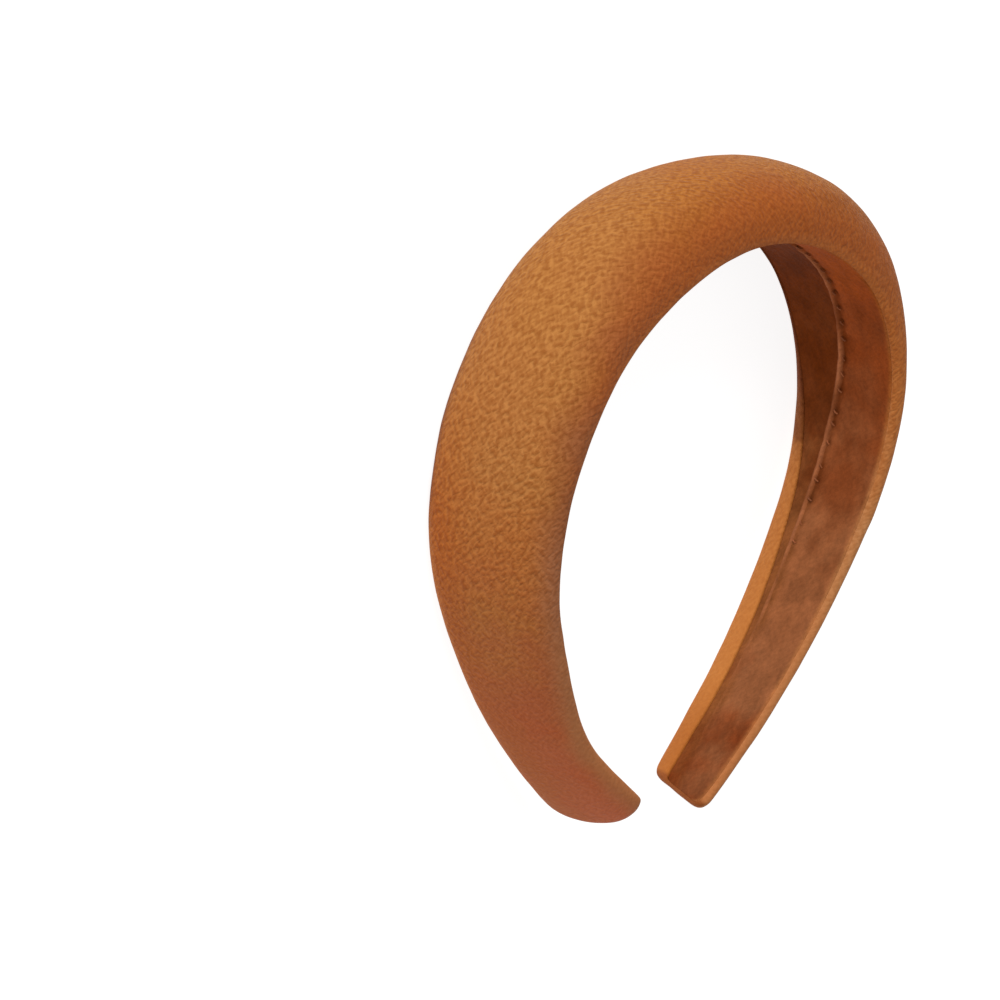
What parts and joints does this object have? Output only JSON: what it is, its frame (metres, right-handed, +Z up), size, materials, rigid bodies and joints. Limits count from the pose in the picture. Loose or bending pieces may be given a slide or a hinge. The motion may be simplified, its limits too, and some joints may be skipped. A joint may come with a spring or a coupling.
{
  "type": "padded_headband",
  "caption": "Padded velvet headband: an open springy hoop, wide and domed over the crown, tapering to flat rounded tips, with a flat inner face and a raised inside seam",
  "frame": {"origin": "middle of the headband's footprint, on the surface it lies on", "axes": "X across the head from leg to leg, +Y from the open tips to the crown, +Z up, from the back edge it lies on to the front edge"},
  "size_m": [0.1532, 0.1604, 0.037],
  "materials": {
    "cover_velvet": "short-pile velvet, camel orange, redder towards the tips",
    "facing_velvet": "short-pile velvet, worn flat, dark reddish brown",
    "seam_velvet": "velvet folded over a sewn seam, matt"
  },
  "bodies": {
    "root": {"padded_cover": "cover_velvet", "inner_facing": "facing_velvet", "seam_welt": "seam_velvet"}
  },
  "joints": []
}
